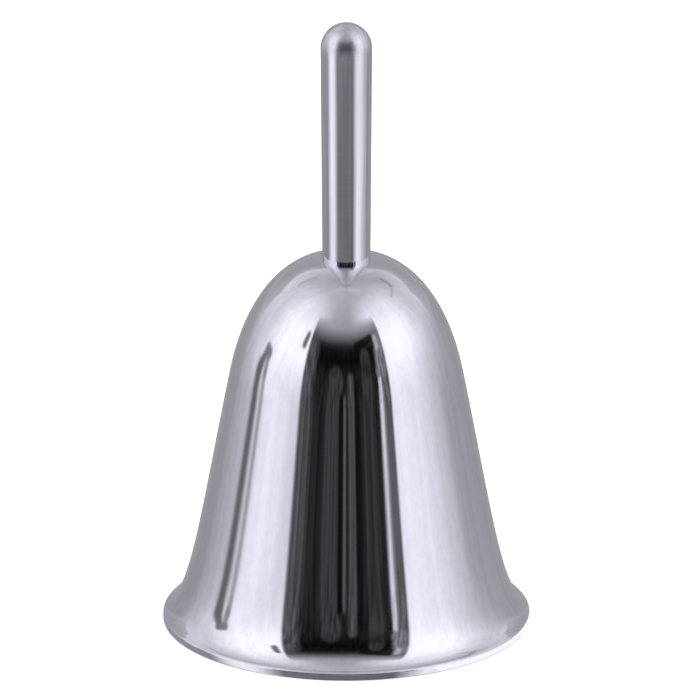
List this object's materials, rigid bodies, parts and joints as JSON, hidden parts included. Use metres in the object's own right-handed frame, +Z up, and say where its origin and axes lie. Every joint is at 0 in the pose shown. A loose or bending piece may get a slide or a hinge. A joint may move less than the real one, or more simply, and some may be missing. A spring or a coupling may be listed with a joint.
{
  "type": "hand bell",
  "caption": "Flared polished-steel hand bell with a straight round rod handle on its crown and a free-swinging ball clapper hung inside on an eye and ring.",
  "frame": {"origin": "centre of the mouth, on the plane that the lip rests on", "axes": "+Z up the bell's axis to the top of the handle; the clapper's swing axis is +Y and the ring's sway axis is +X"},
  "size_m": [0.0754, 0.0754, 0.1266],
  "materials": {
    "polished_steel": "mirror-polished stainless steel",
    "plated_steel": "bright zinc-plated steel fasteners",
    "spring_steel": "dull hardened spring steel",
    "wire_steel": "drawn bright stainless wire"
  },
  "bodies": {
    "bell": {"bell_shell": "polished_steel", "handle": "polished_steel", "crown_washer": "plated_steel", "spring_washer": "spring_steel", "crown_nut": "plated_steel", "eye_stud": "plated_steel"},
    "link": {"hanger_ring": "wire_steel"},
    "clapper": {"clapper_rod": "wire_steel", "clapper_jam_nut": "plated_steel", "clapper_ball": "polished_steel"}
  },
  "joints": [
    {"name": "ring_sway", "type": "hinge", "parent": "bell", "child": "link", "pos_m": [0, 0, 0.0602], "axis": [1, 0, 0], "range_deg": [-6, 6]},
    {"name": "clapper_swing", "type": "hinge", "parent": "link", "child": "clapper", "pos_m": [0, 0, 0.0534], "axis": [0, 1, 0], "range_deg": [-31, 31]}
  ]
}
